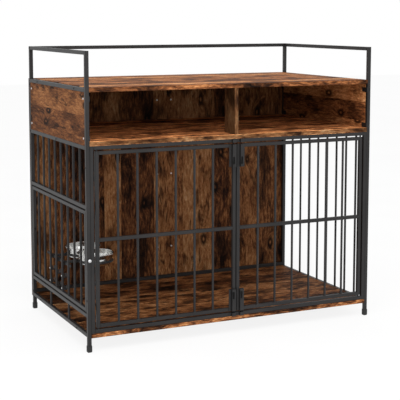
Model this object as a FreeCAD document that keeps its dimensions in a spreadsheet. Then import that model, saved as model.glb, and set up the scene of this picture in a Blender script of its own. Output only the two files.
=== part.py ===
import FreeCAD, Part
import os
import re
import Sketcher

# Dog crate end table: a welded square-tube frame with wooden boards, two barred front
# doors held by flat slide bolts, and a barred feeder panel in the left side that turns
# about an upright axis and carries two bowls.
# X runs left to right, Y front to rear, Z up. The origin is on the floor, under the
# middle of the whole, lock pin and joint plates included.

SIZES = (
    ("crate_width", 1100, "over the posts"),
    ("frame_depth", 632, "over the posts"),
    ("crate_height", 1000, "floor to guard rail"),
    ("front_reach", 12, "lock pin ahead of the front posts"),
    ("rear_reach", 10, "joint plates behind the rear posts"),
    ("tube", 13, "side of the frame's square tube"),
    ("tube_bevel", 1.2, "corner of that tube"),
    ("slim", 12, "side of the doors' and feeder's square tube"),
    ("slim_bevel", 1, "corner of that tube"),
    ("set_back", 0.5, "slim tube behind the frame's outer faces"),
    ("bar_dia", 8, "round bars"),
    ("foot_height", 22, "plastic foot under each post"),
    ("foot_over", 2, "foot past the tube on each side"),
    ("foot_bevel", 4, "bevel round the underside of a foot"),
    ("board", 15, "thickness of table, shelf and floor boards"),
    ("board_bevel", 0.8, "long edges of the boards"),
    ("floor_low", 48, "underside of the floor board"),
    ("bottom_rail_low", 50, "underside of the side bottom rails"),
    ("shelf_rail_low", 677, "underside of the shelf rails"),
    ("table_rail_low", 866, "underside of the side table rails"),
    ("sill_low", 117, "underside of the feeder sill rail"),
    ("head_low", 480, "underside of the feeder head rail"),
    ("side_panel", 12, "thickness of the side panels"),
    ("back_panel", 8, "thickness of the back panels"),
    ("back_panel_low", 49, "lower edge of the back panels"),
    ("back_panel_high", 880, "upper edge of the back panels"),
    ("divider", 14, "thickness of the shelf divider"),
    ("divider_depth", 80, "front to rear"),
    ("side_bar_count", 8, "bars in each side"),
    ("front_short_bar", 2, "side pitches from the first bar to the front short bar"),
    ("rear_short_bar", 5, "side pitches from the first bar to the rear short bar"),
    ("door_low", 81, "underside of the doors"),
    ("door_high", 672, "top of the doors"),
    ("door_side_gap", 32, "outer face of the crate to a door's hinge edge"),
    ("door_meeting", 3, "gap between the two doors"),
    ("door_bar_count", 6, "bars in each door"),
    ("door_bar_pitch", 70, "between door bars"),
    ("door_bar_start", 88, "innermost door bar, from the crate's middle"),
    ("pivot_dia", 6, "door pivot pins"),
    ("pivot_depth", 12, "door pin inside the stile"),
    ("fit", 0.05, "radial play of a pin in its bore"),
    ("latch_wide", 24, "latch plate, side to side"),
    ("latch_flange", 9.5, "flat part of the latch plate"),
    ("latch_wall", 1.5, "sheet thickness of the latch"),
    ("latch_out", 9, "latch channel ahead of the posts' front faces"),
    ("latch_sink", 1, "face of the latch plate ahead of the posts"),
    ("latch_long", 78.5, "latch case, end to end"),
    ("latch_inset_left", 3, "left latch plate to its door's meeting edge"),
    ("latch_inset_right", 1, "right latch plate to its door's meeting edge"),
    ("latch_nip", 0.5, "latch case short of the door's end"),
    ("keeper_high", 12, "keeper on the frame rail"),
    ("slot_wide", 7, "slot for the finger tab"),
    ("slot_long", 26, "slot for the finger tab"),
    ("slot_start", 9, "inner end of the case to the slot"),
    ("bolt_wide", 11, "slide bolt, side to side"),
    ("bolt_thick", 6, "slide bolt, front to rear"),
    ("bolt_long", 70, "slide bolt, end to end"),
    ("bolt_play", 0.25, "gap round the bolt in its case"),
    ("tab_wide", 6.4, "finger tab"),
    ("tab_high", 8, "finger tab"),
    ("tab_out", 11, "finger tab ahead of the posts"),
    ("tab_start", 2, "inner end of the bolt to the tab"),
    ("feeder_gap", 3, "feeder panel to the posts"),
    ("feeder_clear", 5, "feeder panel to head and sill"),
    ("feeder_pin_dia", 8, "feeder pivot pins"),
    ("feeder_pin_depth", 9, "feeder pin inside the rail"),
    ("lock_height", 312, "feeder lock pin above the floor"),
    ("lock_dia", 6, "lock pin shaft"),
    ("lock_knob_dia", 11, "lock pin knob"),
    ("lock_knob_long", 6, "lock pin knob"),
    ("lock_bevel", 1.2, "outer edge of the knob"),
    ("lock_tip", 1, "pin tip past the post when drawn back"),
    ("lock_play", 0.3, "radial play in the feeder stile's hole"),
    ("holder_low", 242, "underside of the bowl holder"),
    ("holder_thick", 4, "holder's flat bar"),
    ("holder_high", 10, "height of the holder's flat bar"),
    ("holder_over", 22, "crossbar past the outer hooks"),
    ("arm_shift", 6, "holder's arms beside the bowls' middles"),
    ("ring_dia", 6, "wire of the bowl rings, across its eight flats"),
    ("ring_flat", 2.5, "width of each flat"),
    ("ring_radius", 61.2, "to the wire's middle"),
    ("ring_height", 245, "wire's middle above the floor"),
    ("bowl_reach", 123.5, "feeder line to the bowls' middle"),
    ("front_bowl_bar", 4, "bar that the front bowl hangs beside, counted from the front"),
    ("rear_bowl_bar", 6, "bar that the rear bowl hangs beside"),
    ("bowl_low", 231, "underside of the bowls"),
    ("bowl_high", 274, "top of the bowls"),
    ("bowl_foot", 49, "radius of a bowl's flat base"),
    ("bowl_heel", 55, "radius where the wall starts"),
    ("heel_high", 5, "height where the wall starts"),
    ("bowl_mouth", 64.5, "radius under the rim"),
    ("bowl_sheet", 0.8, "sheet thickness of a bowl"),
    ("rim_wide", 3.2, "rim's section, level"),
    ("rim_high", 2.6, "rim's section, upright"),
    ("hook_rows", 3, "heights that the holder can hang at"),
    ("hook_bars", 3, "bars that carry hooks"),
    ("hook_step", 45, "one height hook to the next"),
    ("hook_wide", 6, "width of a hook"),
    ("hook_high", 15, "height of a hook"),
    ("hook_sheet", 3.5, "thickness of a hook's strap"),
    ("hook_reach", 16, "bar's middle to a hook's lip"),
    ("plate_wide", 80, "back joint plate"),
    ("plate_high", 25, "back joint plate"),
    ("plate_thick", 2, "back joint plate"),
    ("joint_count", 3, "back joint plates"),
    ("joint_step", 296, "one joint plate to the next"),
    ("joint_low", 190, "lowest joint plate's middle"),
    ("tab_plate", 2, "thickness of the side panel tabs"),
    ("panel_tab_long", 32, "side panel tab, front to rear"),
    ("panel_tab_high", 16, "side panel tab, upright"),
    ("tab_inset", 1, "side panel tab inside the posts' faces and above the shelf"),
    ("tab_drop", 15, "upper tabs below the table rail, with the lower inset"),
)

# Places worked out from the sizes, each as a formula in the sizes' names.
PLACES = {
    "left": "-crate_width / 2",
    "right": "crate_width / 2",
    "front": "(front_reach - rear_reach - frame_depth) / 2",
    "rear": "front + frame_depth",
    "middle": "front + frame_depth / 2",
    "inner_width": "crate_width - 2 * tube",
    "inner_depth": "frame_depth - 2 * tube",
    "floor_top": "floor_low + board",
    "shelf_low": "shelf_rail_low + tube",
    "shelf_top": "shelf_low + board",
    "side_pitch": "inner_depth / (side_bar_count + 1)",
    "door_width": "(crate_width - door_meeting) / 2 - door_side_gap",
    "door_tall": "door_high - door_low",
    "door_middle": "(door_low + door_high) / 2",
    "door_field": "(door_tall - 3 * slim) / 2",
    "latch_left": "-door_meeting / 2 - latch_inset_left - latch_wide",
    "latch_right": "door_meeting / 2 + latch_inset_right",
    "left_door_edge": "left + door_side_gap",
    "right_door_edge": "door_meeting / 2",
    "door_plane": "front + set_back",
    "panel_tab_step": "table_rail_low - shelf_top - panel_tab_high - tab_drop",
    "feeder_low": "sill_low + tube + feeder_clear",
    "feeder_tall": "head_low - feeder_clear - feeder_low",
    "feeder_long": "inner_depth - 2 * feeder_gap",
    "feeder_front": "front + tube + feeder_gap",
    "feeder_line": "left + set_back + slim / 2",
    "feeder_plane": "left + set_back",
    "top_hook_low": "holder_low - hook_sheet",
    "front_bowl_line": "front + tube + front_bowl_bar * side_pitch",
    "rear_bowl_line": "front + tube + rear_bowl_bar * side_pitch",
}

doc = FreeCAD.newDocument("dog_crate_end_table")
sheet = doc.addObject("Spreadsheet::Sheet", "Dims")
for row, (size_name, size_value, meaning) in enumerate(SIZES, 1):
    sheet.set("A%d" % row, meaning)
    sheet.set("B%d" % row, str(size_value))
    sheet.setAlias("B%d" % row, size_name)
doc.recompute()

nodes = {}


def formula(text):
    """The sheet formula for a text written in the names of sizes and places."""
    def cell(match):
        word = match.group()
        if word in PLACES:
            return "(" + formula(PLACES[word]) + ")"
        return "Dims." + word
    return re.sub(r"[a-z][a-z_]*", cell, text)


def bind(thing, prop, text):
    thing.setExpression(prop, formula(text))


def put(thing, place):
    for axis, text in zip("xyz", place):
        bind(thing, ".Placement.Base." + axis, text)


def new_body(name, place):
    body = doc.addObject("PartDesign::Body", name)
    body.AllowCompound = True
    put(body, place)
    nodes[name] = body
    return body


def origin_feature(body, role):
    return next(item for item in body.Origin.OriginFeatures if item.Role == role)


def sketch_on(body, role, offset=None):
    sketch = body.newObject("Sketcher::SketchObject", body.Name + "_sketch")
    sketch.AttachmentSupport = [(origin_feature(body, role), "")]
    sketch.MapMode = "FlatFace"
    if offset:
        bind(sketch, ".AttachmentOffset.Base.z", offset)
    return sketch


def held(sketch, constraint, text):
    index = sketch.addConstraint(constraint)
    bind(sketch, "Constraints[%d]" % index, text)


def outline(sketch, corners):
    """A closed outline of straight edges, each corner held from the sketch's origin."""
    first = sketch.GeometryCount
    count = len(corners)
    spots = [FreeCAD.Vector(index + 1, (index % 2) * 5 + 1, 0) for index in range(count)]
    for index in range(count):
        sketch.addGeometry(Part.LineSegment(spots[index], spots[(index + 1) % count]))
    for index in range(count):
        line = first + index
        following = first + (index + 1) % count
        sketch.addConstraint(Sketcher.Constraint("Coincident", line, 2, following, 1))
        across, upward = corners[index]
        held(sketch, Sketcher.Constraint("DistanceX", -1, 1, line, 1, 1.0), across)
        held(sketch, Sketcher.Constraint("DistanceY", -1, 1, line, 1, 1.0), upward)


def rectangle(sketch, across, upward, wide, high):
    far = "%s + %s" % (across, wide)
    top = "%s + %s" % (upward, high)
    outline(sketch, [(across, upward), (far, upward), (far, top), (across, top)])


def circle(sketch, across, upward, radius):
    ring = sketch.addGeometry(Part.Circle(FreeCAD.Vector(1, 1, 0), FreeCAD.Vector(0, 0, 1), 2))
    held(sketch, Sketcher.Constraint("DistanceX", -1, 1, ring, 3, 1.0), across)
    held(sketch, Sketcher.Constraint("DistanceY", -1, 1, ring, 3, 1.0), upward)
    held(sketch, Sketcher.Constraint("Radius", ring, 2.0), radius)


def pad(body, sketch, length, reverse=False):
    feature = body.newObject("PartDesign::Pad", body.Name + "_pad")
    feature.Profile = sketch
    feature.Reversed = reverse
    bind(feature, "Length", length)
    doc.recompute()
    return feature


def pocket(body, sketch, depth, reverse=False):
    before = body.Shape.Volume
    feature = body.newObject("PartDesign::Pocket", body.Name + "_pocket")
    feature.Profile = sketch
    feature.Reversed = reverse
    bind(feature, "Length", depth)
    doc.recompute()
    if body.Shape.Volume >= before:
        raise RuntimeError(body.Name + ": the pocket cuts nothing")
    return feature


def revolve(body, sketch, axis):
    feature = body.newObject("PartDesign::Revolution", body.Name + "_turned")
    feature.Profile = sketch
    feature.ReferenceAxis = (sketch, [axis])
    feature.Angle = 360
    doc.recompute()
    return feature


def bevel_edges(body, base, size, wanted):
    """Chamfer the edges of base that the wanted test picks."""
    edges = ["Edge%d" % (index + 1) for index, edge in enumerate(base.Shape.Edges)
             if wanted(edge)]
    feature = body.newObject("PartDesign::Chamfer", body.Name + "_bevel")
    feature.Base = (base, edges)
    bind(feature, "Size", size)
    doc.recompute()
    return feature


def runs_along(axis):
    direction = FreeCAD.Vector(*[1.0 if letter == axis else 0.0 for letter in "XYZ"])

    def test(edge):
        if edge.Curve.TypeId != "Part::GeomLine":
            return False
        return abs(abs(edge.Curve.Direction.dot(direction)) - 1) < 1e-6
    return test


def repeat(body, axis, step, count):
    """Repeat all that the body holds along one of its axes."""
    feature = body.newObject("PartDesign::LinearPattern", body.Name + "_row")
    feature.TransformMode = "Whole shape"
    feature.Direction = (origin_feature(body, axis + "_Axis"), [""])
    feature.Mode = "Spacing"
    bind(feature, "Offset", step)
    bind(feature, "Occurrences", count)
    body.Tip = feature
    doc.recompute()
    return feature


def mirror(body, role):
    """Add the mirror image of all that the body holds."""
    feature = body.newObject("PartDesign::Mirrored", body.Name + "_mirrored")
    feature.TransformMode = "Whole shape"
    feature.MirrorPlane = (origin_feature(body, role), [""])
    body.Tip = feature
    doc.recompute()
    return feature


FACES = {"X": ("YZ_Plane", 1, 2), "Y": ("XZ_Plane", 0, 2), "Z": ("XY_Plane", 0, 1)}


def prism(name, run, spans, place, corner):
    """A length of rectangular section along one axis, its long edges bevelled."""
    body = new_body(name, place)
    role, wide, high = FACES[run]
    sketch = sketch_on(body, role)
    rectangle(sketch, "0", "0", spans[wide], spans[high])
    stock = pad(body, sketch, spans["XYZ".index(run)], reverse=run == "Y")
    bevel_edges(body, stock, corner, runs_along(run))
    return body


def frame_tube(name, run, length, place):
    spans = ["tube", "tube", "tube"]
    spans["XYZ".index(run)] = length
    return prism(name, run, spans, place, "tube_bevel")


def slim_tube(name, run, length, place):
    spans = ["slim", "slim", "slim"]
    spans["XYZ".index(run)] = length
    return prism(name, run, spans, place, "slim_bevel")


def upright_bars(name, length, place):
    body = new_body(name, place)
    sketch = sketch_on(body, "XY_Plane")
    circle(sketch, "0", "0", "bar_dia / 2")
    pad(body, sketch, length)
    return body


def make_posts_and_feet():
    right_post = "right - tube"
    rear_post = "rear - tube"
    tall = "crate_height - foot_height"
    frame_tube("front_left_post", "Z", tall, ("left", "front", "foot_height"))
    frame_tube("front_right_post", "Z", tall, (right_post, "front", "foot_height"))
    frame_tube("rear_left_post", "Z", tall, ("left", rear_post, "foot_height"))
    frame_tube("rear_right_post", "Z", tall, (right_post, rear_post, "foot_height"))
    post = nodes["front_left_post"]
    bore = sketch_on(post, "XZ_Plane")
    circle(bore, "tube / 2", "lock_height - foot_height", "lock_dia / 2 + fit")
    pocket(post, bore, "tube")
    feet = new_body("feet", ("left - foot_over", "front - foot_over", "0"))
    section = sketch_on(feet, "XY_Plane")
    rectangle(section, "0", "0", "tube + 2 * foot_over", "tube + 2 * foot_over")
    block = pad(feet, section, "foot_height")
    bevel_edges(feet, block, "foot_bevel", lambda edge: edge.BoundBox.ZMax < 1e-6)
    repeat(feet, "X", "crate_width - tube", "2")
    repeat(feet, "Y", "frame_depth - tube", "2")


def make_side_rails():
    levels = (
        ("guard_rail", "crate_height - tube"),
        ("table_rail", "table_rail_low"),
        ("shelf_rail", "shelf_rail_low"),
        ("bottom_rail", "bottom_rail_low"),
    )
    for name, low in levels:
        frame_tube("left_" + name, "Y", "inner_depth", ("left", "front + tube", low))
        frame_tube("right_" + name, "Y", "inner_depth", ("right - tube", "front + tube", low))
    frame_tube("feeder_head_rail", "Y", "inner_depth", ("left", "front + tube", "head_low"))
    frame_tube("feeder_sill_rail", "Y", "inner_depth", ("left", "front + tube", "sill_low"))


def make_long_rails():
    start = "left + tube"
    levels = (
        ("rear_guard_rail", "crate_height - tube"),
        ("rear_table_rail", "table_rail_low - tube"),
        ("rear_shelf_rail", "shelf_rail_low"),
        ("rear_bottom_rail", "floor_top"),
    )
    for name, low in levels:
        frame_tube(name, "X", "inner_width", (start, "rear - tube", low))
    cross = (start, "middle - tube / 2", "shelf_rail_low")
    frame_tube("shelf_cross_rail", "X", "inner_width", cross)


def make_front_frame():
    stile_tall = "shelf_low - floor_top"
    stiles = frame_tube("front_frame_stiles", "Z", stile_tall,
                        ("left + tube", "front", "floor_top"))
    repeat(stiles, "X", "inner_width - tube", "2")
    rails_place = ("left + 2 * tube", "front", "floor_top")
    rails = frame_tube("front_frame_rails", "X", "inner_width - 2 * tube", rails_place)
    repeat(rails, "Z", "shelf_rail_low - floor_top", "2")


def make_side_bars():
    first_bar = "front + tube + side_pitch"
    head_top = "head_low + tube"
    left_line = "left + tube / 2"
    left = upright_bars("left_side_bars", "shelf_rail_low - head_low - tube",
                        (left_line, first_bar, head_top))
    repeat(left, "Y", "side_pitch", "side_bar_count")
    below = sketch_on(left, "XY_Plane", "bottom_rail_low + tube - (" + head_top + ")")
    circle(below, "0", "side_pitch * front_short_bar", "bar_dia / 2")
    circle(below, "0", "side_pitch * rear_short_bar", "bar_dia / 2")
    pad(left, below, "sill_low - bottom_rail_low - tube")
    right = upright_bars("right_side_bars", "shelf_rail_low - bottom_rail_low - tube",
                         ("right - tube / 2", first_bar, "bottom_rail_low + tube"))
    repeat(right, "Y", "side_pitch", "side_bar_count")


def make_boards():
    spans = ("inner_width", "frame_depth", "board")
    for name, low in (("floor_board", "floor_low"), ("shelf_board", "shelf_low"),
                      ("table_board", "table_rail_low")):
        prism(name, "X", spans, ("left + tube", "front", low), "board_bevel")
    panel_spans = ("side_panel", "inner_depth", "table_rail_low - shelf_low")
    panel_front = "front + tube"
    prism("left_side_panel", "Y", panel_spans,
          ("left + tube - side_panel", panel_front, "shelf_low"), "board_bevel")
    prism("right_side_panel", "Y", panel_spans,
          ("right - tube", panel_front, "shelf_low"), "board_bevel")
    back_spans = ("crate_width / 2", "back_panel", "back_panel_high - back_panel_low")
    prism("left_back_panel", "X", back_spans, ("left", "rear", "back_panel_low"), "board_bevel")
    prism("right_back_panel", "X", back_spans, ("0", "rear", "back_panel_low"), "board_bevel")
    divider_spans = ("divider", "divider_depth", "table_rail_low - shelf_top")
    prism("shelf_divider", "Z", divider_spans, ("-divider / 2", "front", "shelf_top"),
          "board_bevel")


def make_plates():
    tabs = new_body("side_panel_tabs", ("0", "0", "0"))
    sketch = sketch_on(tabs, "YZ_Plane", "left + tube")
    low = "shelf_top + tab_inset"
    rectangle(sketch, "front + tab_inset", low, "panel_tab_long", "panel_tab_high")
    rectangle(sketch, "rear - tab_inset - panel_tab_long", low,
              "panel_tab_long", "panel_tab_high")
    pad(tabs, sketch, "tab_plate")
    repeat(tabs, "Z", "panel_tab_step", "2")
    mirror(tabs, "YZ_Plane")
    plate_spans = ("plate_wide", "plate_thick", "plate_high")
    plates = prism("back_joint_plates", "Y", plate_spans,
                   ("-plate_wide / 2", "rear + back_panel", "joint_low - plate_high / 2"),
                   "plate_thick")
    repeat(plates, "Z", "joint_step", "joint_count")


def make_pivot_pins():
    """Upright pins: two for each door and two for the feeder panel."""
    pins = new_body("pivot_pins", ("0", "0", "0"))
    door_line = "door_plane + slim / 2"
    door_pins = (("left_door_edge + slim / 2", door_line),
                 ("-left_door_edge - slim / 2", door_line))
    feeder_pin = (("feeder_line", "middle"),)
    rows = (
        (door_pins, "pivot_dia / 2", "floor_top + tube", "door_low + pivot_depth"),
        (door_pins, "pivot_dia / 2", "door_high - pivot_depth", "shelf_rail_low"),
        (feeder_pin, "feeder_pin_dia / 2", "sill_low + tube", "feeder_low + feeder_pin_depth"),
        (feeder_pin, "feeder_pin_dia / 2", "head_low - feeder_clear - feeder_pin_depth",
         "head_low"),
    )
    for spots, radius, low, high in rows:
        sketch = sketch_on(pins, "XY_Plane", low)
        for across, along in spots:
            circle(sketch, across, along, radius)
        pad(pins, sketch, "%s - (%s)" % (high, low))


def make_door(side, edge, hinge_line, bar_start):
    """One door: stiles with bored hinge stile, three rails, two tiers of bars."""
    place = (edge, "door_plane", "door_low")
    stiles = slim_tube(side + "_door_stiles", "Z", "door_tall", place)
    repeat(stiles, "X", "door_width - slim", "2")
    for level, upward in (("0", True), ("door_tall", False)):
        bore = sketch_on(stiles, "XY_Plane", level)
        circle(bore, hinge_line, "slim / 2", "pivot_dia / 2 + fit")
        pocket(stiles, bore, "pivot_depth + 1", reverse=upward)
    rails_place = (edge + " + slim", "door_plane", "door_low")
    rails = slim_tube(side + "_door_rails", "X", "door_width - 2 * slim", rails_place)
    repeat(rails, "Z", "door_field + slim", "3")
    bars = upright_bars(side + "_door_bars", "door_field",
                        (bar_start, "door_plane + slim / 2", "door_low + slim"))
    repeat(bars, "X", "door_bar_pitch", "door_bar_count")
    repeat(bars, "Z", "door_field + slim", "2")


def latch_section(sketch, back):
    """Plate with a raised channel beside its flange, open from end to end inside."""
    front = "-latch_out"
    face = "-latch_sink"
    outline(sketch, [("0", back), ("latch_wide", back), ("latch_wide", front),
                     ("latch_flange", front), ("latch_flange", face), ("0", face)])
    hollow_wide = "latch_wide - latch_flange - 2 * latch_wall"
    hollow_deep = "latch_out - latch_wall - latch_sink"
    rectangle(sketch, "latch_flange + latch_wall", "latch_wall - latch_out", hollow_wide,
              hollow_deep)


def make_latches(side, across):
    """The two cases on a door's front and the flat bolts that slide in them."""
    cases = new_body(side + "_latch_cases", (across, "front", "door_middle"))
    case_low = "door_tall / 2 - latch_nip - latch_long"
    section = sketch_on(cases, "XY_Plane", case_low)
    latch_section(section, "set_back")
    pad(cases, section, "latch_long")
    slot = sketch_on(cases, "XZ_Plane", "latch_out - 2 * latch_wall")
    rectangle(slot, "latch_flange + latch_wall", case_low + " + slot_start", "slot_wide",
              "slot_long")
    pocket(cases, slot, "2 * latch_wall", reverse=True)
    mirror(cases, "XY_Plane")
    bolt_left = across + " + latch_flange + latch_wall + bolt_play"
    bolt_front = "front - latch_out + latch_wall + bolt_play"
    top_low = "door_high - latch_nip - bolt_long"
    bottom_low = "door_low + latch_nip"
    rows = (("top", top_low, "tab_start"),
            ("bottom", bottom_low, "bolt_long - tab_start - tab_high"))
    for end, low, tab_low in rows:
        bolt = new_body("%s_door_%s_bolt" % (side, end), (bolt_left, bolt_front, low))
        bar = sketch_on(bolt, "XY_Plane")
        rectangle(bar, "0", "0", "bolt_wide", "bolt_thick")
        pad(bolt, bar, "bolt_long")
        tab = sketch_on(bolt, "XZ_Plane")
        rectangle(tab, "(slot_wide - tab_wide) / 2 - bolt_play", tab_low, "tab_wide", "tab_high")
        pad(bolt, tab, "tab_out - latch_out + latch_wall + bolt_play")


def make_keepers():
    """Short lengths of the latch section on the front frame's rails."""
    keepers = new_body("latch_keepers", ("latch_left", "front", "floor_top + latch_nip"))
    section = sketch_on(keepers, "XY_Plane")
    latch_section(section, "0")
    pad(keepers, section, "keeper_high")
    repeat(keepers, "X", "latch_right - latch_left", "2")
    repeat(keepers, "Z", "shelf_rail_low - floor_top", "2")


def make_feeder_panel():
    place = ("feeder_plane", "feeder_front", "feeder_low")
    stiles = slim_tube("feeder_stiles", "Z", "feeder_tall", place)
    repeat(stiles, "Y", "feeder_long - slim", "2")
    hole = sketch_on(stiles, "XZ_Plane")
    circle(hole, "slim / 2", "lock_height - feeder_low", "lock_dia / 2 + lock_play")
    pocket(stiles, hole, "feeder_long")
    rail_long = "feeder_long - 2 * slim"
    rails_place = ("feeder_plane", "feeder_front + slim", "feeder_low")
    rails = slim_tube("feeder_rails", "Y", rail_long, rails_place)
    repeat(rails, "Z", "feeder_tall - slim", "2")
    for level, upward in (("0", True), ("feeder_tall", False)):
        bore = sketch_on(rails, "XY_Plane", level)
        circle(bore, "slim / 2", "(%s) / 2" % rail_long, "feeder_pin_dia / 2 + fit")
        pocket(rails, bore, "feeder_pin_depth + 1", reverse=upward)
    bars = upright_bars("feeder_bars", "feeder_tall - 2 * slim",
                        ("feeder_line", "front + tube + side_pitch", "feeder_low + slim"))
    repeat(bars, "Y", "side_pitch", "side_bar_count")


def make_hooks():
    """Rows of hooks on the bars between the bowls, each saddled to its bar."""
    lowest = "top_hook_low - (hook_rows - 1) * hook_step"
    hooks = new_body("bowl_hooks", ("feeder_line", "front_bowl_line - hook_wide / 2", lowest))
    profile = sketch_on(hooks, "XZ_Plane")
    strap = "bar_dia / 2 + hook_sheet"
    lip = "hook_reach - hook_sheet"
    outline(profile, [("bar_dia / 4", "0"), ("hook_reach", "0"), ("hook_reach", "hook_high"),
                      (lip, "hook_high"), (lip, "hook_sheet"), (strap, "hook_sheet"),
                      (strap, "hook_high"), ("bar_dia / 4", "hook_high")])
    pad(hooks, profile, "hook_wide", reverse=True)
    saddle = sketch_on(hooks, "XY_Plane")
    circle(saddle, "0", "hook_wide / 2", "bar_dia / 2")
    pocket(hooks, saddle, "hook_high", reverse=True)
    repeat(hooks, "Y", "side_pitch", "hook_bars")
    repeat(hooks, "Z", "hook_step", "hook_rows")


def ring_section(sketch):
    """The eight flats of a ring's wire, and the upright axis that the ring is turned about."""
    half = "ring_dia / 2"
    flat = "ring_flat / 2"
    corners = (("+", half, "-", flat), ("+", half, "+", flat), ("+", flat, "+", half),
               ("-", flat, "+", half), ("-", half, "+", flat), ("-", half, "-", flat),
               ("-", flat, "-", half), ("+", flat, "-", half))
    outline(sketch, [("bowl_reach + ring_radius %s %s" % (side, wide),
                      "ring_height - holder_low %s %s" % (rise, high))
                     for side, wide, rise, high in corners])
    ends = (FreeCAD.Vector(1, 0, 0), FreeCAD.Vector(1, 9, 0))
    axis = sketch.addGeometry(Part.LineSegment(*ends), True)
    sketch.addConstraint(Sketcher.Constraint("Vertical", axis))
    held(sketch, Sketcher.Constraint("DistanceX", -1, 1, axis, 1, 1.0), "bowl_reach")


def make_bowl_holder():
    """A flat crossbar in the top hooks, with an arm and a wire ring for each bowl."""
    bowl_step = "(rear_bowl_line - front_bowl_line)"
    holder = new_body("bowl_holder", ("feeder_line", "front_bowl_line - holder_over", "holder_low"))
    crossbar = sketch_on(holder, "XZ_Plane")
    strap = "bar_dia / 2 + hook_sheet"
    rectangle(crossbar, strap, "0", "holder_thick", "holder_high")
    pad(holder, crossbar, bowl_step + " + 2 * holder_over", reverse=True)
    arms = sketch_on(holder, "XY_Plane")
    arm_start = strap + " + holder_thick"
    arm_long = "bowl_reach - ring_radius - (%s)" % arm_start
    for beside in ("holder_over + arm_shift", "holder_over + %s - arm_shift" % bowl_step):
        rectangle(arms, arm_start, beside + " - holder_thick / 2", arm_long, "holder_thick")
    pad(holder, arms, "holder_high")
    for along in ("holder_over", "holder_over + " + bowl_step):
        wire = sketch_on(holder, "XZ_Plane", "-(%s)" % along)
        ring_section(wire)
        revolve(holder, wire, "Axis0")


def make_bowls():
    """Pressed bowls: a turned blank hollowed to sheet, with a rim turned on its mouth."""
    for name, line in (("front_bowl", "front_bowl_line"), ("rear_bowl", "rear_bowl_line")):
        bowl = new_body(name, ("feeder_line + bowl_reach", line, "bowl_low"))
        deep = "bowl_high - bowl_low - rim_high / 2"
        half = sketch_on(bowl, "XZ_Plane")
        outline(half, [("0", "0"), ("bowl_foot", "0"), ("bowl_heel", "heel_high"),
                       ("bowl_mouth", deep), ("0", deep)])
        blank = revolve(bowl, half, "V_Axis")
        top = max(range(len(blank.Shape.Faces)),
                  key=lambda index: blank.Shape.Faces[index].CenterOfMass.z)
        shell = bowl.newObject("PartDesign::Thickness", name + "_sheet")
        shell.Base = (blank, ["Face%d" % (top + 1)])
        shell.Reversed = True
        bind(shell, "Value", "bowl_sheet")
        doc.recompute()
        rim = sketch_on(bowl, "XZ_Plane")
        rectangle(rim, "bowl_mouth - bowl_sheet", deep + " - rim_high / 2", "rim_wide", "rim_high")
        revolve(bowl, rim, "V_Axis")


def make_lock_pin():
    pin = new_body("feeder_lock_pin", ("left + tube / 2", "front", "lock_height"))
    half = sketch_on(pin, "YZ_Plane")
    knob_end = "lock_knob_long - front_reach"
    tip = "tube + lock_tip"
    outline(half, [("-front_reach", "0"), ("-front_reach", "lock_knob_dia / 2 - lock_bevel"),
                   ("lock_bevel - front_reach", "lock_knob_dia / 2"),
                   (knob_end, "lock_knob_dia / 2"), (knob_end, "lock_dia / 2"),
                   (tip, "lock_dia / 2"), (tip, "0")])
    revolve(pin, half, "H_Axis")


def write_nodes():
    """Check every object and write each sub-part to a file of its own."""
    doc.recompute()
    for item in doc.Objects:
        if "Invalid" in item.State or "Error" in item.State:
            raise RuntimeError(item.Name + " failed")
    os.makedirs("parts", exist_ok=True)
    for name, item in nodes.items():
        if item.Shape.isNull() or not item.Shape.isValid():
            raise RuntimeError(name + " has no valid shape")
        if item.Label != name:
            raise RuntimeError(name + " is labelled " + item.Label)
        item.Shape.exportStep("parts/%s.step" % name)


make_posts_and_feet()
make_side_rails()
make_long_rails()
make_front_frame()
make_side_bars()
make_boards()
make_plates()
make_pivot_pins()
make_keepers()
make_door("left", "left_door_edge", "slim / 2",
          "-door_bar_start - (door_bar_count - 1) * door_bar_pitch")
make_door("right", "right_door_edge", "door_width - slim / 2", "door_bar_start")
make_latches("left", "latch_left")
make_latches("right", "latch_right")
make_feeder_panel()
make_hooks()
make_bowl_holder()
make_bowls()
make_lock_pin()
write_nodes()
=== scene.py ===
import math
import bmesh
import bpy
from mathutils import Matrix, Vector


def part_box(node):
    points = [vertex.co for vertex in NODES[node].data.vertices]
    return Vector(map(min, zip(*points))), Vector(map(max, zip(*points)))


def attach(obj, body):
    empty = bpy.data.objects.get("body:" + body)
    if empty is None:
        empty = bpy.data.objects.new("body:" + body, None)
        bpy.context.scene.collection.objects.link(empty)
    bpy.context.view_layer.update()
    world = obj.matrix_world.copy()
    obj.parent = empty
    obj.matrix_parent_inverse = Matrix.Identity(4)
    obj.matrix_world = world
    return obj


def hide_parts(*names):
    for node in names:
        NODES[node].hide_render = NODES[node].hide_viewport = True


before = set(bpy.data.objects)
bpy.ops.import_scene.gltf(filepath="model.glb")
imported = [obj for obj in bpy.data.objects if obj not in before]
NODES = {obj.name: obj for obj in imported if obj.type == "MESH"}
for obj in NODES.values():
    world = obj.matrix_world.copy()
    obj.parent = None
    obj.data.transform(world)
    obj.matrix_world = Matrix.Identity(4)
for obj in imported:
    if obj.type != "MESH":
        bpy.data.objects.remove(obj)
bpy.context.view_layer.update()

# Dog crate end table: powder-coated square tube, rustic laminated boards, zinc-plated
# screws, pressed stainless bowls and moulded plastic feet.

MM = 0.001

# Colours, as sRGB hex.
COAT_BLACK = "191818"
COAT_GREY = "232121"
OAK_CRACK = "1a0e08"
OAK_DARK = "402414"
OAK_BROWN = "744628"
OAK_GOLD = "a0693f"
OAK_TAN = "c08a5b"
OAK_PALE = "dab083"
ZINC = "d4d5d6"
STAINLESS = "cfcfcd"
# The slide bolts' black, painted darker than the coat as the shade in the latch slots.
BOLT_SHADE_BLACK = "070707"
BOLT_SHADE_GREY = "0e0d0d"
PLASTIC_BLACK = "141414"
WHITE = "ffffff"
FLOOR_WHITE = "fafafa"

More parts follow.
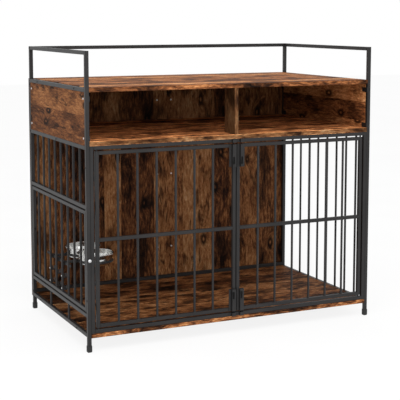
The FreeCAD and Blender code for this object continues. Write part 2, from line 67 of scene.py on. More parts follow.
# The printed decor: the width of its planks, how far apart along it the boards are cut and
# how far its planks slip past each other, in metres.
PLANK = 70 * MM
DECOR_STEP = 0.713
PLANK_SLIP = 3.0

# The shares of its layers in its tone, and the tone where all of them are middling.
STREAK_SHARE = 0.62
SMOKE_SHARE = 0.22
PLANK_SHARE = 0.15
MIDDLE_TONE = 0.495

# For each board: its material, the axes of its grain, width and thickness, the place on the
# decor where it is cut, how much painted light or shade brightens or darkens its faces and its
# edges, and how much its tones differ. Each is matched to the photograph. The painted light and
# shade stand in for how light falls on each board: the shelf is painted brighter, the divider and
# back panels darker, and the back panels' edges near-black as painted shade.
BOARDS = {
    "table_board": ("rustic_oak_top", "XYZ", 1, 1.35, 1.35, 0.85),
    "shelf_board": ("rustic_oak_shelf", "XYZ", 2, 2.5, 0.52, 1.0),
    "floor_board": ("rustic_oak_floor", "XYZ", 3, 0.7, 1.25, 1.15),
    "left_side_panel": ("rustic_oak_left_side", "YZX", 14, 0.85, 1.0, 0.55),
    "right_side_panel": ("rustic_oak_right_side", "YZX", 5, 1.3, 1.0, 0.7),
    "left_back_panel": ("rustic_oak_left_back", "ZXY", 6, 0.52, 0.1, 0.9),
    "right_back_panel": ("rustic_oak_right_back", "ZXY", 7, 0.54, 0.1, 0.9),
    "shelf_divider": ("rustic_oak_divider", "ZYX", 8, 0.22, 0.35, 1.0),
}

# Small fasteners.
HEAD_RADIUS = 3.6 * MM
HEAD_DOME = 1.8 * MM
HOOK_HEAD_RADIUS = 2.6 * MM
HOOK_HEAD_DOME = 1.4 * MM
RECESS_WIDE = 0.9 * MM
RECESS_DEEP = 1.3 * MM

# Edges flatter than this many degrees are shaded smooth.
SMOOTH_BELOW = 35.0

# Lengths under this count as nothing, in metres.
NOTHING = 1e-6


def linear(text):
    """The linear colour of an sRGB hex value."""
    parts = [int(text[i:i + 2], 16) / 255 for i in (0, 2, 4)]
    return [p / 12.92 if p <= 0.04045 else ((p + 0.055) / 1.055) ** 2.4 for p in parts] + [1.0]


def add(tree, kind, inputs=None, stops=None, **settings):
    """Add a node, set its settings and ramp stops, and set or link each input."""
    made = tree.nodes.new(kind)
    for name, value in settings.items():
        setattr(made, name, value)
    if stops:
        ramp = made.color_ramp
        while len(ramp.elements) < len(stops):
            ramp.elements.new(1.0)
        for element, (place, colour) in zip(ramp.elements, stops):
            element.position = place
            element.color = linear(colour)
    for key, value in (inputs or {}).items():
        sources = value if isinstance(value, tuple) else (value,)
        if all(isinstance(source, bpy.types.NodeSocket) for source in sources):
            for source in sources:
                tree.links.new(source, made.inputs[key])
        else:
            made.inputs[key].default_value = value
    return made


# Materials. Texture scales are features to the metre: 900 is one every 1.1 mm.

def new_material(name):
    """An empty material, its tree, and the place of each point on its piece."""
    material = bpy.data.materials.new(name)
    material.use_nodes = True
    tree = material.node_tree
    tree.nodes.clear()
    return material, tree, add(tree, "ShaderNodeTexCoord").outputs["Object"]


def powder_coat():
    # Satin black powder coat, sprayed and baked: near-black, soft broad highlights, a tone
    # that drifts over 110 mm or so, and a fine orange peel about a millimetre across.
    material, tree, place = new_material("black_powder_coat")
    cloud = add(tree, "ShaderNodeTexNoise", {"Vector": place, "Scale": 9.0, "Detail": 3.0})
    tint = add(tree, "ShaderNodeValToRGB", {"Fac": cloud.outputs["Fac"]},
               stops=[(0.35, COAT_BLACK), (0.7, COAT_GREY)])
    peel = add(tree, "ShaderNodeTexNoise", {"Vector": place, "Scale": 900.0, "Detail": 2.0})
    gloss = add(tree, "ShaderNodeMapRange", {"Value": peel.outputs["Fac"], "To Min": 0.38,
                                             "To Max": 0.54})
    bump = add(tree, "ShaderNodeBump", {"Height": peel.outputs["Fac"], "Strength": 0.12,
                                        "Distance": 0.3 * MM})
    shader = add(tree, "ShaderNodeBsdfPrincipled",
                 {"Base Color": tint.outputs["Color"], "Roughness": gloss.outputs["Result"],
                  "Normal": bump.outputs["Normal"], "Specular IOR Level": 0.33})
    add(tree, "ShaderNodeOutputMaterial", {"Surface": shader.outputs[0]})
    return material


def bolt_black_and_painted_shade():
    # The slide bolts' black powder coat, duller than the cases that they slide in and painted
    # darker
    # than them, cloudy over 8 mm or so: partly the bolts' own black, partly painted shade, so that
    # the latch slots show dark.
    material, tree, place = new_material("bolt_black_with_painted_shade")
    cloud = add(tree, "ShaderNodeTexNoise", {"Vector": place, "Scale": 120.0, "Detail": 3.0})
    tint = add(tree, "ShaderNodeValToRGB", {"Fac": cloud.outputs["Fac"]},
               stops=[(0.35, BOLT_SHADE_BLACK), (0.7, BOLT_SHADE_GREY)])
    gloss = add(tree, "ShaderNodeMapRange", {"Value": cloud.outputs["Fac"], "To Min": 0.5,
                                             "To Max": 0.7})
    shader = add(tree, "ShaderNodeBsdfPrincipled",
                 {"Base Color": tint.outputs["Color"], "Roughness": gloss.outputs["Result"],
                  "Specular IOR Level": 0.15})
    add(tree, "ShaderNodeOutputMaterial", {"Surface": shader.outputs[0]})
    return material


def zinc_plate():
    # Bright zinc plating on turned steel: pale, and cloudy over a couple of millimetres.
    material, tree, place = new_material("bright_zinc_plate")
    cloud = add(tree, "ShaderNodeTexNoise", {"Vector": place, "Scale": 500.0, "Detail": 3.0})
    gloss = add(tree, "ShaderNodeMapRange", {"Value": cloud.outputs["Fac"], "To Min": 0.25,
                                             "To Max": 0.45})
    shader = add(tree, "ShaderNodeBsdfPrincipled",
                 {"Base Color": linear(ZINC), "Metallic": 1.0,
                  "Roughness": gloss.outputs["Result"]})
    add(tree, "ShaderNodeOutputMaterial", {"Surface": shader.outputs[0]})
    return material


def polished_stainless():
    # Deep-drawn and polished stainless steel: mirror-like, with faint rings from polishing
    # on the lathe that run level round the bowl. They are drawn a millimetre apart, coarser
    # than the real ones, so that they show.
    material, tree, place = new_material("polished_stainless")
    rings = add(tree, "ShaderNodeVectorMath", {0: place, 1: (6.0, 6.0, 900.0)},
                operation="MULTIPLY").outputs[0]
    ring = add(tree, "ShaderNodeTexNoise", {"Vector": rings, "Scale": 1.0, "Detail": 2.0})
    gloss = add(tree, "ShaderNodeMapRange", {"Value": ring.outputs["Fac"], "To Min": 0.1,
                                             "To Max": 0.2})
    shader = add(tree, "ShaderNodeBsdfPrincipled",
                 {"Base Color": linear(STAINLESS), "Metallic": 1.0,
                  "Roughness": gloss.outputs["Result"]})
    add(tree, "ShaderNodeOutputMaterial", {"Surface": shader.outputs[0]})
    return material


def moulded_plastic():
    # Injection-moulded black plastic: matt, with a spark-eroded grain. It is drawn half a
    # millimetre across, coarser than the real one, so that it shows.
    material, tree, place = new_material("moulded_black_plastic")
    grain = add(tree, "ShaderNodeTexNoise", {"Vector": place, "Scale": 1800.0, "Detail": 2.0})
    gloss = add(tree, "ShaderNodeMapRange", {"Value": grain.outputs["Fac"], "To Min": 0.5,
                                             "To Max": 0.7})
    bump = add(tree, "ShaderNodeBump", {"Height": grain.outputs["Fac"], "Strength": 0.2,
                                        "Distance": 0.1 * MM})
    shader = add(tree, "ShaderNodeBsdfPrincipled",
                 {"Base Color": linear(PLASTIC_BLACK), "Roughness": gloss.outputs["Result"],
                  "Normal": bump.outputs["Normal"]})
    add(tree, "ShaderNodeOutputMaterial", {"Surface": shader.outputs[0]})
    return material


def rustic_oak(name, axes, cut, painted_face_light, painted_edge_light, patchy):
    """Rustic oak laminate with its grain along one axis, wrapped over the board's edges."""
    # Printed decor on chipboard: planks about 70 mm wide that differ in tone, soft smoky
    # patches, fibre a millimetre or two wide, thin dark checks, and knots some 25 mm long
    # with a pale heart that the fibre bends round, all under a nearly matt skin.
    grain, across, thick = axes
    material, tree, spot = new_material(name)
    place = add(tree, "ShaderNodeSeparateXYZ", {"Vector": spot})

    # The sheet of decor, laid flat, and its planks.
    wrapped = add(tree, "ShaderNodeMath", {0: place.outputs[across],
                                           1: place.outputs[thick]}).outputs[0]
    side = add(tree, "ShaderNodeMath", {0: wrapped, 1: cut * DECOR_STEP}).outputs[0]
    planks = add(tree, "ShaderNodeMath", {0: side, 1: PLANK}, operation="DIVIDE").outputs[0]
    plank = add(tree, "ShaderNodeTexWhiteNoise",
                {"W": add(tree, "ShaderNodeMath", {0: planks}, operation="FLOOR").outputs[0]},
                noise_dimensions="1D").outputs["Value"]
    along = add(tree, "ShaderNodeMath", {0: plank, 1: PLANK_SLIP, 2: place.outputs[grain]},
                operation="MULTIPLY_ADD").outputs[0]
    flat = add(tree, "ShaderNodeCombineXYZ", {"X": along, "Y": side}).outputs[0]

    # Knots sit in cells of 180 by 95 mm, about half of which are empty. The distance from
    # them is in cells.
    cells = add(tree, "ShaderNodeVectorMath", {0: flat, 1: (5.5, 10.5, 1.0)},
                operation="MULTIPLY").outputs[0]
    knots = add(tree, "ShaderNodeTexVoronoi", {"Vector": cells, "Scale": 1.0},
                voronoi_dimensions="2D")
    picked = add(tree, "ShaderNodeSeparateColor", {"Color": knots.outputs["Color"]})
    empty = add(tree, "ShaderNodeMapRange",
                {"Value": picked.outputs[0], "From Min": 0.5, "From Max": 0.52, "To Min": 1.0,
                 "To Max": 0.0}, interpolation_type="SMOOTHSTEP").outputs[0]
    away = add(tree, "ShaderNodeMath", {0: knots.outputs["Distance"], 1: empty},
               operation="ADD").outputs[0]

    # The grain drifts up to 50 mm along and 16 mm across, and bulges 20 mm round a knot.
    broad = add(tree, "ShaderNodeVectorMath", {0: flat, 1: (5.0, 9.0, 1.0)},
                operation="MULTIPLY").outputs[0]
    drift = add(tree, "ShaderNodeTexNoise",
                {"Vector": broad, "Scale": 1.0, "Detail": 3.0, "Roughness": 0.5},
                noise_dimensions="2D")
    drifted = add(tree, "ShaderNodeVectorMath",
                  {0: drift.outputs["Color"], 1: (50 * MM, 16 * MM, 0.0), 2: flat},
                  operation="MULTIPLY_ADD").outputs[0]
    bend = add(tree, "ShaderNodeMapRange",
               {"Value": away, "From Max": 0.4, "To Min": 20 * MM, "To Max": 0.0},
               interpolation_type="SMOOTHSTEP").outputs[0]
    bulge = add(tree, "ShaderNodeCombineXYZ", {"Y": bend}).outputs[0]
    line = add(tree, "ShaderNodeVectorMath", {0: drifted, 1: bulge}).outputs[0]

    # Layers of smoke, streaks, fibre, figure and gaps, each with its scales along and across
    # the grain, detail and roughness.
    layers = []
    for lengthwise, crosswise, detail, roughness in (
            (7.0, 15.0, 4.0, 0.5), (24.0, 115.0, 6.0, 0.8), (60.0, 560.0, 3.0, 0.7),
            (2.6, 14.0, 3.0, 0.6), (14.0, 30.0, 3.0, 0.6)):
        stretched = add(tree, "ShaderNodeVectorMath", {0: line, 1: (lengthwise, crosswise, 1.0)},
                        operation="MULTIPLY").outputs[0]
        layer = add(tree, "ShaderNodeTexNoise",
                    {"Vector": stretched, "Scale": 1.0, "Detail": detail,
                     "Roughness": roughness}, noise_dimensions="2D")
        layers.append(layer.outputs["Fac"])
    smoke, streak, fibre, figure, gap = layers

    # Colour follows the tone, which is evened out towards the middle where a board is calm.
    streaked = add(tree, "ShaderNodeMath", {0: streak, 1: STREAK_SHARE},
                   operation="MULTIPLY").outputs[0]
    smoky = add(tree, "ShaderNodeMath", {0: smoke, 1: SMOKE_SHARE, 2: streaked},
                operation="MULTIPLY_ADD").outputs[0]
    planked = add(tree, "ShaderNodeMath", {0: plank, 1: PLANK_SHARE, 2: smoky},
                  operation="MULTIPLY_ADD").outputs[0]
    level = add(tree, "ShaderNodeMath", {0: planked, 1: patchy, 2: MIDDLE_TONE * (1 - patchy)},
                operation="MULTIPLY_ADD").outputs[0]
    wood = add(tree, "ShaderNodeValToRGB", {"Fac": level},
               stops=[(0.32, OAK_CRACK), (0.4, OAK_DARK), (0.47, OAK_BROWN),
                      (0.53, OAK_GOLD), (0.6, OAK_TAN), (0.68, OAK_PALE)])

    # Checks follow the figure's contour lines, and fade where there are gaps in them.
    contours = add(tree, "ShaderNodeMath", {0: figure, 1: 6.5}, operation="MULTIPLY").outputs[0]
    wave = add(tree, "ShaderNodeMath", {0: contours, 1: 1.0}, operation="PINGPONG").outputs[0]
    faint = add(tree, "ShaderNodeMapRange",
                {"Value": gap, "From Min": 0.46, "From Max": 0.62, "To Min": 0.2,
                 "To Max": 0.9}, interpolation_type="SMOOTHSTEP").outputs[0]
    check = add(tree, "ShaderNodeMapRange",
                {"Value": wave, "From Max": 0.2, "To Min": faint}).outputs[0]

    # Checks, fibre, knots and smoke darken the wood, and a knot's heart lights it again.
    dimmed = check
    for value, low, high, start, end in (
            (fibre, 0.3, 0.7, 0.72, 1.24), (away, 0.08, 0.2, 0.1, 1.0),
            (smoke, 0.34, 0.5, 1.0 - 0.58 * patchy, 1.0)):
        mark = add(tree, "ShaderNodeMapRange",
                   {"Value": value, "From Min": low, "From Max": high, "To Min": start,
                    "To Max": end}, interpolation_type="SMOOTHSTEP").outputs[0]
        dimmed = add(tree, "ShaderNodeMath", {0: dimmed, 1: mark}, operation="MULTIPLY").outputs[0]
    heart = add(tree, "ShaderNodeMapRange",
                {"Value": away, "From Max": 0.07, "To Min": 1.3, "To Max": 0.0},
                interpolation_type="SMOOTHSTEP").outputs[0]
    lit = add(tree, "ShaderNodeMath", {0: dimmed, 1: heart}).outputs[0]
    toned = add(tree, "ShaderNodeMix", {0: 1.0, 6: wood.outputs["Color"], 7: lit},
                data_type="RGBA", blend_type="MULTIPLY").outputs[2]

    # Painted light and shade: faces and edges are brightened or darkened by which way they face,
    # by the amounts given for each board, in place of the light that falls on them.
    normal = add(tree, "ShaderNodeSeparateXYZ",
                 {"Vector": add(tree, "ShaderNodeNewGeometry").outputs["True Normal"]})
    facing = add(tree, "ShaderNodeMath", {0: normal.outputs[thick]}, operation="ABSOLUTE")
    painted_light_level = add(tree, "ShaderNodeMapRange",
               {"Value": facing.outputs[0], "From Min": 0.4, "From Max": 0.6,
                "To Min": painted_edge_light, "To Max": painted_face_light},
               interpolation_type="SMOOTHSTEP").outputs[0]
    painted_light_wood = add(tree, "ShaderNodeHueSaturation", {"Value": painted_light_level, "Color": toned})
    gloss = add(tree, "ShaderNodeMapRange", {"Value": streak, "To Min": 0.6, "To Max": 0.8})
    bump = add(tree, "ShaderNodeBump", {"Height": check, "Strength": 0.15, "Distance": 0.3 * MM})
    shader = add(tree, "ShaderNodeBsdfPrincipled",
                 {"Base Color": painted_light_wood.outputs["Color"], "Roughness": gloss.outputs["Result"],
                  "Normal": bump.outputs["Normal"], "Specular IOR Level": 0.08})
    add(tree, "ShaderNodeOutputMaterial", {"Surface": shader.outputs[0]})
    return material


# Shaped pieces.

def corners(name):
    """The low and the high corner of a CAD node."""
    return [Vector(corner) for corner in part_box(name)]


def place_mesh(name, build, material, body):
    """A piece from a function that fills a bmesh, finished and set on its body."""
    work = bmesh.new()
    build(work)
    bmesh.ops.recalc_face_normals(work, faces=work.faces)
    mesh = bpy.data.meshes.new(name)
    work.to_mesh(mesh)
    work.free()
    mesh.materials.append(material)
    piece = bpy.data.objects.new(name, mesh)
    bpy.context.scene.collection.objects.link(piece)
    mesh.shade_smooth()
    mesh.set_sharp_from_angle(angle=math.radians(SMOOTH_BELOW))
    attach(piece, body)
    return piece


def turned(work, profile, place, sides=96):
    """Turn a profile of (radius, height) points about an upright axis moved by a matrix."""
    rings = []
    for radius, height in profile:
        if radius < NOTHING:
            rings.append([work.verts.new(place @ Vector((0, 0, height)))])
            continue
        turns = (2 * math.pi * step / sides for step in range(sides))
        rings.append([work.verts.new(place @ Vector((radius * math.cos(t), radius * math.sin(t),
                                                     height))) for t in turns])
    for low, high in zip(rings, rings[1:]):
        for step in range(sides):
            near, far = step, (step + 1) % sides
            loop = [low[near % len(low)], low[far % len(low)],
                    high[far % len(high)], high[near % len(high)]]
            work.faces.new(list(dict.fromkeys(loop)))


def arc(centre, radius, start, end, steps):
    """Points on an arc from one angle to another, in degrees."""
    angles = (math.radians(start + (end - start) * step / steps) for step in range(steps + 1))
    return [(centre[0] + radius * math.cos(a), centre[1] + radius * math.sin(a)) for a in angles]


def block(work, size, middle):
    """A box, and its edges."""
    made = bmesh.ops.create_cube(work, size=1.0)["verts"]
    bmesh.ops.scale(work, vec=size, verts=made)
    bmesh.ops.translate(work, vec=middle, verts=made)
    return list(dict.fromkeys(edge for vert in made for edge in vert.link_edges))


def make_bowls(steel):
    """Smooth pressed bowls with a rolled rim, in place of the plain ones."""
    sheet = 0.8 * MM
    roll = 1.6 * MM
    heel = 11 * MM
    lean = 14.5
    for name in ("front_bowl", "rear_bowl"):
        low, high = corners(name)
        mouth = (high.x - low.x) / 2 - 2 * roll
        brow = (high.z - low.z) - roll
        foot = mouth - (brow - heel) * math.tan(math.radians(lean))
        middle = (foot - heel * math.cos(math.radians(lean)), heel)
        profile = [(0.0, 0.0)] + arc(middle, heel, -90, -lean, 10)
        # The rim rolls up and outwards from the wall, and back under itself.
        profile += arc((mouth + roll * 0.8, brow), roll, 200, -130, 18)
        profile += arc(middle, heel - sheet, -lean, -90, 10) + [(0.0, sheet)]
        place = Matrix.Translation(((low.x + high.x) / 2, (low.y + high.y) / 2, low.z))
        piece = place_mesh(name + "_pressing", lambda work: turned(work, profile, place), steel,
                           name)
        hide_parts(name)


def make_holder(coat):
    """Crossbar, arms and round wire rings, in place of the eight-sided ones."""
    low, high = corners("bowl_holder")
    bar = 4 * MM
    wire = 3 * MM
    beside = 6 * MM
    ring_radius = 61.2 * MM
    softened = 0.5 * MM
    ring_sides = 20

    def soft_box(work, near, far):
        edges = block(work, far - near, (near + far) / 2)
        bmesh.ops.bevel(work, geom=edges, offset=softened, segments=2, affect="EDGES",
                        profile=0.5)

    def build(work):
        soft_box(work, low, Vector((low.x + bar, high.y, high.z)))
        for name, shift in (("front_bowl", beside), ("rear_bowl", -beside)):
            near, far = corners(name)
            centre = (near + far) / 2
            start = Vector((low.x + bar / 2, centre.y + shift - bar / 2, low.z))
            end = Vector((centre.x - ring_radius, centre.y + shift + bar / 2, high.z))
            soft_box(work, start, end)
            section = arc((ring_radius, 0.0), wire, 0, 360, ring_sides)
            turned(work, section, Matrix.Translation((centre.x, centre.y, low.z + wire)))
    piece = place_mesh("bowl_holder_wires", build, coat, "feeder_panel")
    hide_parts("bowl_holder")


def make_feet(plastic):
    """Push-on feet with a softly rounded underside, in place of the bevelled blocks."""
    low, high = corners("feet")
    wide = 17 * MM
    rounding = 4.5 * MM
    rounding_steps = 6

    def build(work):
        for left in (low.x, high.x - wide):
            for front in (low.y, high.y - wide):
                edges = block(work, (wide, wide, high.z - low.z),
                              (left + wide / 2, front + wide / 2, (low.z + high.z) / 2))
                rounded = [edge for edge in edges
                           if min(vert.co.z for vert in edge.verts) < low.z + NOTHING]
                bmesh.ops.bevel(work, geom=rounded, offset=rounding, segments=rounding_steps,
                                affect="EDGES", profile=0.5)
    piece = place_mesh("foot_caps", build, plastic, "crate")
    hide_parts("feet")


def make_lock_pin(zinc):
    """Turned lock pin with a domed knob, in place of the plain one."""
    low, high = corners("feeder_lock_pin")
    knob = (high.x - low.x) / 2
    long = high.y - low.y
    thick = 6 * MM
    shaft = 3 * MM
    crown = 1.2 * MM
    edge = 1.6 * MM
    chamfer = 0.4 * MM
    tip = 0.3 * MM
    profile = [(0.0, 0.0), (shaft, 0.0), (shaft, long - thick), (knob - chamfer, long - thick),
               (knob, long - thick + chamfer)]
    profile += arc((knob - edge, long - crown - edge), edge, 0, 65, 6)
    profile += [(knob * 0.4, long - tip), (0.0, long)]
    centre = ((low.x + high.x) / 2, high.y, (low.z + high.z) / 2)
    place = Matrix.Translation(centre) @ Matrix.Rotation(math.radians(90), 4, "X")
    piece = place_mesh("lock_pin_turning", lambda work: turned(work, profile, place, 48), zinc,
                       "lock_pin")
    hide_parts("feeder_lock_pin")


# Pieces grown with geometry nodes.

def new_tree(name, inputs):
    """A geometry tree with a geometry input and named inputs, and its input node."""
    tree = bpy.data.node_groups.new(name, "GeometryNodeTree")
    tree.interface.new_socket("Geometry", in_out="INPUT", socket_type="NodeSocketGeometry")
    for label, kind in inputs:
        tree.interface.new_socket(label, in_out="INPUT", socket_type="NodeSocket" + kind)
    tree.interface.new_socket("Geometry", in_out="OUTPUT", socket_type="NodeSocketGeometry")
    return tree, add(tree, "NodeGroupInput").outputs


def screw_tree():
    """A domed head with a cross recess on each point, facing along its facing attribute."""
    tree, given = new_tree("screw_heads", (("Head Radius", "Float"), ("Dome Height", "Float"),
                                           ("Recess Width", "Float"), ("Recess Depth", "Float"),
                                           ("Material", "Material")))
    flat = add(tree, "ShaderNodeCombineXYZ", {0: given["Head Radius"], 1: given["Head Radius"],
                                              2: given["Dome Height"]})
    ball = add(tree, "GeometryNodeMeshUVSphere", {"Segments": 24, "Rings": 12, "Radius": 1.0})
    dome = add(tree, "GeometryNodeTransform", {"Geometry": ball.outputs["Mesh"],
                                               "Scale": flat.outputs[0]})
    reach = add(tree, "ShaderNodeMath", {0: given["Head Radius"], 1: 1.1}, operation="MULTIPLY")
    top = add(tree, "ShaderNodeCombineXYZ", {2: given["Dome Height"]})
    cuts = []
    for wide, long in ((reach.outputs[0], given["Recess Width"]),
                       (given["Recess Width"], reach.outputs[0])):
        size = add(tree, "ShaderNodeCombineXYZ", {0: wide, 1: long, 2: given["Recess Depth"]})
        arm = add(tree, "GeometryNodeMeshCube", {"Size": size.outputs[0]})
        cuts.append(add(tree, "GeometryNodeTransform", {"Geometry": arm.outputs["Mesh"],
                                                        "Translation": top.outputs[0]}))
    head = add(tree, "GeometryNodeMeshBoolean",
               {"Mesh 1": dome.outputs[0], "Mesh 2": tuple(cut.outputs[0] for cut in cuts)},
               operation="DIFFERENCE", solver="EXACT")
    facing = add(tree, "GeometryNodeInputNamedAttribute", {"Name": "facing"},
                 data_type="FLOAT_VECTOR")
    turn = add(tree, "FunctionNodeAlignRotationToVector", {"Vector": facing.outputs[0]},
               axis="Z")
    heads = add(tree, "GeometryNodeInstanceOnPoints",
                {"Points": given["Geometry"], "Instance": head.outputs["Mesh"],
                 "Rotation": turn.outputs[0]})
    solid = add(tree, "GeometryNodeRealizeInstances", {"Geometry": heads.outputs[0]})
    finished = add(tree, "GeometryNodeSetMaterial", {"Geometry": solid.outputs[0],
                                                     "Material": given["Material"]})
    add(tree, "NodeGroupOutput", {"Geometry": finished.outputs[0]})
    return tree


def weld_tree():
    """A bead round the end of a bar at each point, with a lump every 3 mm or so."""
    tree, given = new_tree("weld_beads", (("Bar Radius", "Float"), ("Bead Radius", "Float"),
                                          ("Lump", "Float"), ("Material", "Material")))
    loop = add(tree, "GeometryNodeCurvePrimitiveCircle",
               {"Resolution": 24, "Radius": given["Bar Radius"]})
    section = add(tree, "GeometryNodeCurvePrimitiveCircle",
                  {"Resolution": 6, "Radius": given["Bead Radius"]})
    bead = add(tree, "GeometryNodeCurveToMesh", {"Curve": loop.outputs["Curve"],
                                                 "Profile Curve": section.outputs["Curve"]})
    beads = add(tree, "GeometryNodeInstanceOnPoints", {"Points": given["Geometry"],
                                                       "Instance": bead.outputs[0]})
    solid = add(tree, "GeometryNodeRealizeInstances", {"Geometry": beads.outputs[0]})
    noise = add(tree, "ShaderNodeTexNoise", {"Scale": 350.0, "Detail": 1.0})
    centred = add(tree, "ShaderNodeVectorMath", {0: noise.outputs["Color"], 1: (0.5, 0.5, 0.5)},
                  operation="SUBTRACT")
    lump = add(tree, "ShaderNodeVectorMath", {0: centred.outputs[0], "Scale": given["Lump"]},
               operation="SCALE")
    lumpy = add(tree, "GeometryNodeSetPosition", {"Geometry": solid.outputs[0],
                                                  "Offset": lump.outputs[0]})
    shown = add(tree, "GeometryNodeSetShadeSmooth", {"Geometry": lumpy.outputs[0]})
    finished = add(tree, "GeometryNodeSetMaterial", {"Geometry": shown.outputs[0],
                                                     "Material": given["Material"]})
    add(tree, "NodeGroupOutput", {"Geometry": finished.outputs[0]})
    return tree


def grown(name, tree, places, values, body):
    """Grow a tree on (place, facing) points into one plain mesh on a body."""
    seeds = bpy.data.meshes.new(name + "_points")
    seeds.from_pydata([place for place, facing in places], [], [])
    attribute = seeds.attributes.new("facing", "FLOAT_VECTOR", "POINT")
    for datum, (place, facing) in zip(attribute.data, places):
        datum.vector = facing
    holder = bpy.data.objects.new(name + "_seeds", seeds)
    bpy.context.scene.collection.objects.link(holder)
    growth = holder.modifiers.new("growth", "NODES")
    growth.node_group = tree
    for item in tree.interface.items_tree:
        if item.in_out == "INPUT" and item.name in values:
            growth[item.identifier] = values[item.name]
    ready = holder.evaluated_get(bpy.context.evaluated_depsgraph_get())
    mesh = bpy.data.meshes.new_from_object(ready)
    mesh.name = name
    piece = bpy.data.objects.new(name, mesh)
    bpy.context.scene.collection.objects.link(piece)
    bpy.data.objects.remove(holder)
    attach(piece, body)


def make_screws(coat, zinc):
    """Screw and bolt heads, placed from the boards and rails that they hold."""
    tree = screw_tree()
    sizes = {"Head Radius": HEAD_RADIUS, "Dome Height": HEAD_DOME, "Recess Width": RECESS_WIDE,
             "Recess Depth": RECESS_DEEP}
    post_low, post_high = corners("front_left_post")
    front = post_low.y
    rear = corners("rear_left_post")[1].y
    half_tube = (post_high.x - post_low.x) / 2

    def both_sides(x, spots):
        return [((side * x, y, z), (side, 0, 0)) for y, z in spots for side in (-1, 1)]

    def centre_line(name):
        under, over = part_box(name)
        return (under[2] + over[2]) / 2

    # Two screws near each end of the side panels, one to a tab.
    end_inset = 25 * MM
    tab_inset = 8 * MM
    tabs_low, tabs_high = corners("side_panel_tabs")
    panel_spots = [(y, z) for y in (front + end_inset, rear - end_inset)
                   for z in (tabs_low.z + tab_inset, tabs_high.z - tab_inset)]
    bright = both_sides(-corners("left_side_panel")[0].x, panel_spots)

    # Two bolts to each of the back's three joint plates.
    plate_inset = 12.5 * MM
    plates_low, plates_high = corners("back_joint_plates")
    plate_step = ((plates_high.z - plates_low.z) - 2 * plate_inset) / 2
    for row in range(3):
        height = plates_low.z + plate_inset + row * plate_step
        bright += [((x, rear, height), (0, -1, 0)) for x in (-30 * MM, 30 * MM)]
    grown("panel_screw_heads", tree, bright, dict(sizes, Material=zinc), "crate")

    # Bolts through the sides' frames into the boards and the cross rail, through the posts
    # into the doors' frame and the rear rails, and through the back panels into those rails.
    board_bolts = (front + 117 * MM, rear - 102 * MM)
    door_frame_bolts = (175 * MM, 619 * MM)
    back_bolts = (-450 * MM, -100 * MM, 100 * MM, 450 * MM)
    rear_rails = [centre_line(name) for name in ("rear_guard_rail", "rear_table_rail",
                                                 "rear_shelf_rail", "rear_bottom_rail")]
    spots = [(y, centre_line(name)) for name in ("left_bottom_rail", "left_table_rail")
             for y in board_bolts]
    spots += [(front + half_tube, height) for height in door_frame_bolts]
    spots += [((front + rear) / 2, centre_line("shelf_cross_rail"))]
    spots += [(rear - half_tube, height) for height in rear_rails]
    black = both_sides(-post_low.x, spots)
    back_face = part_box("left_back_panel")[1][1]
    black += [((x, back_face, height), (0, 1, 0)) for height in rear_rails[1:]
              for x in back_bolts]
    grown("frame_bolt_heads", tree, black, dict(sizes, Material=coat), "crate")

    # Screws on the bars in line with the bowls, at the two hook rows below the top one.
    top_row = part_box("bowl_hooks")[1][2] - 7.5 * MM
    row_step = 45 * MM
    bar_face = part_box("feeder_bars")[0][0]
    hooks = []
    for name in ("front_bowl", "rear_bowl"):
        near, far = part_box(name)
        hooks += [((bar_face, (near[1] + far[1]) / 2, top_row - row * row_step), (-1, 0, 0))
                  for row in (1, 2)]
    small = dict(sizes, Material=zinc)
    small["Head Radius"] = HOOK_HEAD_RADIUS
    small["Dome Height"] = HOOK_HEAD_DOME
    grown("hook_screw_heads", tree, hooks, small, "feeder_panel")


def bar_ends(*names):
    """The middles of both ends of every upright bar in the named nodes."""
    ends = []
    for name in names:
        work = bmesh.new()
        work.from_mesh(NODES[name].data)
        bmesh.ops.remove_doubles(work, verts=work.verts, dist=NOTHING)
        unseen = set(work.verts)
        for first in work.verts:
            if first not in unseen:
                continue
            bar = set()
            front = {first}
            while front:
                unseen -= front
                bar |= front
                front = {other for vert in front for edge in vert.link_edges
                         for other in edge.verts} & unseen
            spans = [[vert.co[axis] for vert in bar] for axis in range(3)]
            x, y = ((min(span) + max(span)) / 2 for span in spans[:2])
            ends += [((x, y, min(spans[2])), (0, 0, 1)), ((x, y, max(spans[2])), (0, 0, 1))]
        work.free()
    return ends


def make_welds(coat):
    """Weld beads where the round bars meet their rails."""
    tree = weld_tree()
    values = {"Bar Radius": 4.1 * MM, "Bead Radius": 1.1 * MM, "Lump": 0.7 * MM,
              "Material": coat}
    for body, names in (("crate", ("left_side_bars", "right_side_bars")),
                        ("left_door", ("left_door_bars",)),
                        ("right_door", ("right_door_bars",)),
                        ("feeder_panel", ("feeder_bars",))):
        grown(body + "_bar_welds", tree, bar_ends(*names), values, body)


def make_crate():
    """Dress the CAD nodes, and add the pieces that are shaped or grown here."""
    coat = powder_coat()
    zinc = zinc_plate()
    steel = polished_stainless()
    plastic = moulded_plastic()
    finishes = {board: rustic_oak(*looks) for board, looks in BOARDS.items()}
    # The slide bolts get their black with painted shade, so that the latch slots show dark.
    bolt_shade = bolt_black_and_painted_shade()
    finishes |= {name: bolt_shade for name in NODES if name.endswith("_bolt")}
    finishes |= {"feeder_lock_pin": zinc, "front_bowl": steel, "rear_bowl": steel,
                 "feet": plastic}
    for name, node in NODES.items():
        slots = node.data.materials
        slots.clear()
        slots.append(finishes.get(name, coat))
    make_bowls(steel)
    make_holder(coat)
    make_feet(plastic)
    make_lock_pin(zinc)
    make_screws(coat, zinc)
    make_welds(coat)


# The studio.

def seen_rays(tree):
    """1 for rays from the camera, from mirrors and through glass, and 0 for the rest."""
    path = add(tree, "ShaderNodeLightPath")
    direct = add(tree, "ShaderNodeMath", {0: path.outputs["Is Camera Ray"],
                                          1: path.outputs["Is Glossy Ray"]},
                 operation="MAXIMUM").outputs[0]
    return add(tree, "ShaderNodeMath", {0: direct, 1: path.outputs["Is Transmission Ray"]},
               operation="MAXIMUM").outputs[0]


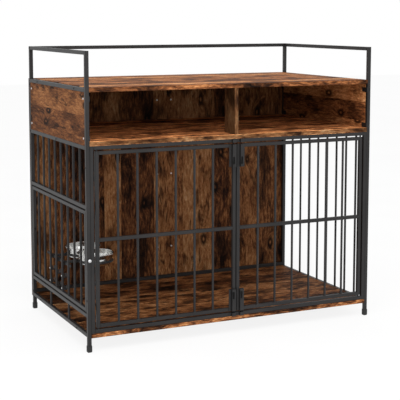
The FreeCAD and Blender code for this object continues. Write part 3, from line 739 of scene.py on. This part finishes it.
def make_floor():
    # Seamless studio paper: white and matt, and mostly washed out to the camera and to
    # mirrors, so that only a faint shadow of the object shows on it.
    reach = 14.0
    washed_out = 0.86
    mesh = bpy.data.meshes.new("floor")
    outline = [(-reach, -reach, 0), (reach, -reach, 0), (reach, reach, 0), (-reach, reach, 0)]
    mesh.from_pydata(outline, [], [(0, 1, 2, 3)])
    floor = bpy.data.objects.new("floor", mesh)
    bpy.context.scene.collection.objects.link(floor)
    material, tree, place = new_material("white_studio_paper")
    cloud = add(tree, "ShaderNodeTexNoise", {"Vector": place, "Scale": 2.0})
    tint = add(tree, "ShaderNodeValToRGB", {"Fac": cloud.outputs["Fac"]},
               stops=[(0.4, FLOOR_WHITE), (0.6, WHITE)])
    matt = add(tree, "ShaderNodeBsdfDiffuse", {"Color": tint.outputs["Color"]})
    wash = add(tree, "ShaderNodeEmission", {"Color": linear(WHITE), "Strength": 1.0})
    share = add(tree, "ShaderNodeMath", {0: seen_rays(tree), 1: washed_out},
                operation="MULTIPLY")
    mixed = add(tree, "ShaderNodeMixShader", {0: share.outputs[0], 1: matt.outputs[0],
                                              2: wash.outputs[0]})
    add(tree, "ShaderNodeOutputMaterial", {"Surface": mixed.outputs[0]})
    mesh.materials.append(material)


def make_light():
    """A white surround, a large soft lamp above the front left and a weaker one in front."""
    surround = 0.8
    lamp_size = 2.4
    aim = Vector((0, 0, 0.45))
    world = bpy.data.worlds.new("studio")
    world.use_nodes = True
    tree = world.node_tree
    tree.nodes.clear()
    strength = add(tree, "ShaderNodeMapRange", {"Value": seen_rays(tree), "To Min": surround,
                                                "To Max": 1.0})
    glow = add(tree, "ShaderNodeBackground", {"Color": linear(WHITE),
                                              "Strength": strength.outputs["Result"]})
    add(tree, "ShaderNodeOutputWorld", {"Surface": glow.outputs[0]})
    bpy.context.scene.world = world
    for name, spot, power in (("key_lamp", (-0.9, -2.2, 3.4), 70.0),
                              ("front_lamp", (-0.6, -3.6, 1.1), 25.0)):
        data = bpy.data.lights.new(name, "AREA")
        data.shape = "SQUARE"
        data.size = lamp_size
        data.energy = power
        lamp = bpy.data.objects.new(name, data)
        lamp.location = spot
        lamp.rotation_euler = (aim - Vector(spot)).to_track_quat("-Z", "Y").to_euler()
        bpy.context.scene.collection.objects.link(lamp)


def make_camera():
    # The photograph's camera stood level. A small downward tilt and a small lens shift come
    # within a few pixels of its view and keep the other views centred.
    picture_pixels = 400
    focal_pixels = 1099.5
    tilt_down = 6.379
    turned_right = 25.254
    data = bpy.data.cameras.new("camera")
    data.sensor_width = 36.0
    data.lens = 36.0 * focal_pixels / picture_pixels
    data.shift_y = -0.15
    data.clip_end = 60.0
    camera = bpy.data.objects.new("camera", data)
    camera.location = (-1.728, -3.6812, 1.1081)
    camera.rotation_euler = (math.radians(90 - tilt_down), 0.0, -math.radians(turned_right))
    bpy.context.scene.collection.objects.link(camera)
    bpy.context.scene.camera = camera


bpy.context.scene.view_settings.view_transform = "Standard"
make_camera()
make_light()
make_floor()
make_crate()
